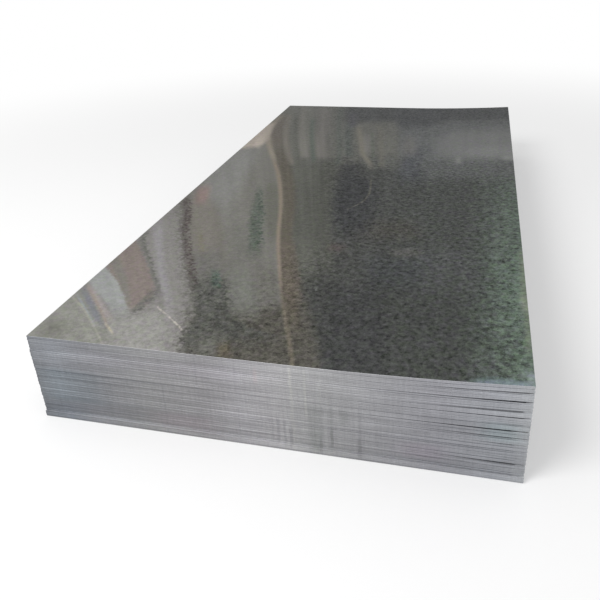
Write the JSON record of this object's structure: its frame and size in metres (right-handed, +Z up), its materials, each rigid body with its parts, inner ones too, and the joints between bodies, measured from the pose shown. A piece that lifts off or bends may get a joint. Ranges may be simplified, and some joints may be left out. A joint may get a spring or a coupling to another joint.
{
  "type": "steel plate stack",
  "caption": "Flat pile of galvanised steel plates cut to one size, with its packs curling apart along one long edge.",
  "frame": {"origin": "middle of the underside of the pile, on the floor", "axes": "+X across the plates towards the edge that curls up, +Y along the plates away from the pictured end, +Z up"},
  "size_m": [1.251, 2.506, 0.2739],
  "materials": {
    "galvanised_steel": "hot-dip galvanised, small spangle, satin, dull and stained in places"
  },
  "bodies": {
    "root": {"plate_01": "galvanised_steel", "plate_02": "galvanised_steel", "plate_03": "galvanised_steel", "plate_04": "galvanised_steel", "plate_05": "galvanised_steel", "plate_06": "galvanised_steel", "plate_07": "galvanised_steel", "plate_08": "galvanised_steel", "plate_09": "galvanised_steel", "plate_10": "galvanised_steel", "plate_11": "galvanised_steel", "plate_12": "galvanised_steel", "plate_13": "galvanised_steel", "plate_14": "galvanised_steel", "plate_15": "galvanised_steel", "plate_16": "galvanised_steel", "plate_17": "galvanised_steel", "plate_18": "galvanised_steel", "plate_19": "galvanised_steel", "plate_20": "galvanised_steel", "plate_21": "galvanised_steel", "plate_22": "galvanised_steel", "plate_23": "galvanised_steel", "plate_24": "galvanised_steel", "plate_25": "galvanised_steel", "plate_26": "galvanised_steel", "plate_27": "galvanised_steel", "plate_28": "galvanised_steel", "plate_29": "galvanised_steel", "plate_30": "galvanised_steel", "plate_31": "galvanised_steel", "plate_32": "galvanised_steel", "plate_33": "galvanised_steel", "plate_34": "galvanised_steel", "plate_35": "galvanised_steel", "plate_36": "galvanised_steel", "plate_37": "galvanised_steel", "plate_38": "galvanised_steel", "plate_39": "galvanised_steel", "plate_40": "galvanised_steel", "plate_41": "galvanised_steel", "plate_42": "galvanised_steel", "plate_43": "galvanised_steel", "plate_44": "galvanised_steel", "plate_45": "galvanised_steel", "plate_46": "galvanised_steel", "plate_47": "galvanised_steel", "plate_48": "galvanised_steel", "plate_49": "galvanised_steel", "plate_50": "galvanised_steel", "plate_51": "galvanised_steel", "plate_52": "galvanised_steel", "plate_53": "galvanised_steel", "plate_54": "galvanised_steel", "plate_55": "galvanised_steel", "plate_56": "galvanised_steel", "plate_57": "galvanised_steel"}
  },
  "joints": []
}
